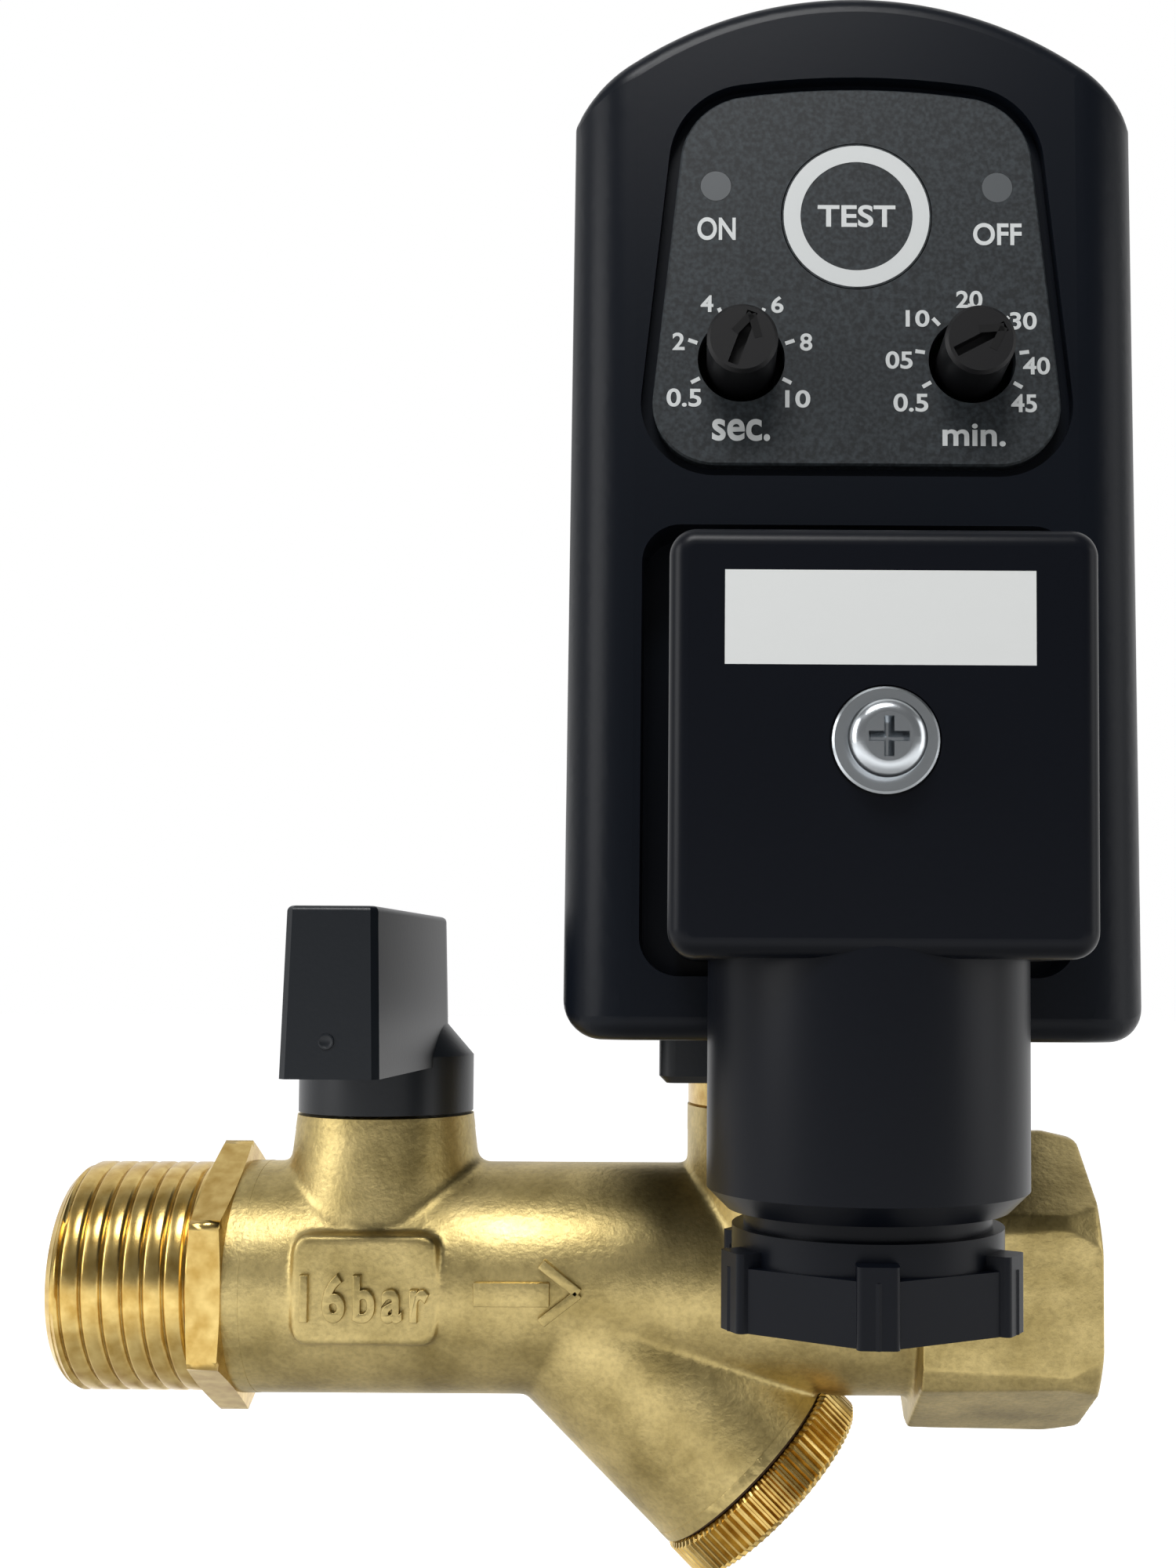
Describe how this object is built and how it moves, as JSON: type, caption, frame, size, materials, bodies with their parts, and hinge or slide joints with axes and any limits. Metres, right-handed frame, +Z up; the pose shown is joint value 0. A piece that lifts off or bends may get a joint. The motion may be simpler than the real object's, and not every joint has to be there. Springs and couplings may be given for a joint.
{
  "type": "automatic drain valve",
  "caption": "Timed condensate drain: brass body with ball valve, Y-strainer, solenoid seat, threaded inlet and outlet, black timer head with dials and square cable connector.",
  "frame": {"origin": "centre of the inlet thread end face on the pipe axis", "axes": "+X along the flow to the outlet, +Z up along the solenoid axis, -Y towards the control panel"},
  "size_m": [0.0923, 0.0763, 0.1327],
  "materials": {
    "cast_brass": "sand-cast and blasted, matt grain",
    "turned_brass": "turned, bright",
    "chrome_ball": "polished",
    "zinc_steel": "zinc plated",
    "stainless": "drawn",
    "copper": "enamelled wire, drawn copper",
    "tinned_blade": "tinned",
    "black_abs": "moulded, fine satin",
    "connector_plastic": "moulded, smooth satin",
    "black_nylon": "moulded glass-filled, satin",
    "knob_plastic": "moulded",
    "panel_film": "printed film, fine grain",
    "led_lens": "smoked lens",
    "board_laminate": "glass laminate with green lacquer",
    "seal_rubber": "moulded",
    "white_ptfe": "machined"
  },
  "bodies": {
    "valve": {"valve_body": "cast_brass", "inlet_nipple": "turned_brass", "nipple_seal": "seal_rubber", "ball_seats": "white_ptfe", "strainer_cap_seal": "seal_rubber", "armature_tube": "turned_brass", "tube_ring": "seal_rubber", "fixed_core": "stainless", "shading_ring": "copper", "plunger_spring": "stainless", "coil_moulding": "black_nylon", "coil_yoke": "zinc_steel", "coil_bobbin": "black_nylon", "coil_winding": "copper", "coil_nut": "zinc_steel", "timer_case": "black_abs", "rear_cover": "black_abs", "control_panel": "panel_film", "on_led": "led_lens", "off_led": "led_lens", "circuit_board": "board_laminate", "trimmer_bodies": "knob_plastic", "tact_switch": "black_nylon", "terminal_base": "black_nylon", "terminal_blades": "tinned_blade", "connector_gasket": "seal_rubber", "connector_housing": "connector_plastic", "connector_insert": "black_nylon", "connector_screw": "zinc_steel", "screw_washer": "zinc_steel", "gland_nut": "connector_plastic", "gland_ring": "black_nylon", "gland_seal": "seal_rubber"},
    "ball_rotor": {"lever_handle": "black_nylon", "handle_screw": "zinc_steel", "valve_stem": "turned_brass", "stem_rings": "seal_rubber", "valve_ball": "chrome_ball"},
    "strainer_insert": {"strainer_cap": "turned_brass", "strainer_screen": "stainless"},
    "armature": {"plunger": "stainless", "plunger_seal": "seal_rubber"},
    "on_dial": {"on_time_knob": "knob_plastic"},
    "off_dial": {"off_time_knob": "knob_plastic"},
    "test_key": {"test_button": "panel_film"}
  },
  "joints": [
    {"name": "ball_turn", "type": "hinge", "parent": "valve", "child": "ball_rotor", "pos_m": [0.028, 0, 0.0151], "axis": [0, 0, 1], "range_deg": [-90, 0]},
    {"name": "strainer_pull", "type": "slide", "parent": "valve", "child": "strainer_insert", "axis": [0.7071, 0, -0.7071], "range_m": [0, 0.03]},
    {"name": "armature_lift", "type": "slide", "parent": "valve", "child": "armature", "axis": [0, 0, 1], "range_m": [0, 0.0018], "stiffness_N_per_m": 400, "springref_m": -0.002, "deforming": ["plunger_spring"]},
    {"name": "on_dial_turn", "type": "hinge", "parent": "valve", "child": "on_dial", "pos_m": [0.0603, -0.02913, 0.07608], "axis": [0, -0.9996, 0.0297], "range_deg": [-112, 152]},
    {"name": "off_dial_turn", "type": "hinge", "parent": "valve", "child": "off_dial", "pos_m": [0.0783, -0.02913, 0.07608], "axis": [0, -0.9996, 0.0297], "range_deg": [-70, 194]},
    {"name": "test_press", "type": "slide", "parent": "valve", "child": "test_key", "axis": [0, 0.9996, -0.0297], "range_m": [0, 0.0005], "stiffness_N_per_m": 800, "springref_m": -0.0005}
  ]
}
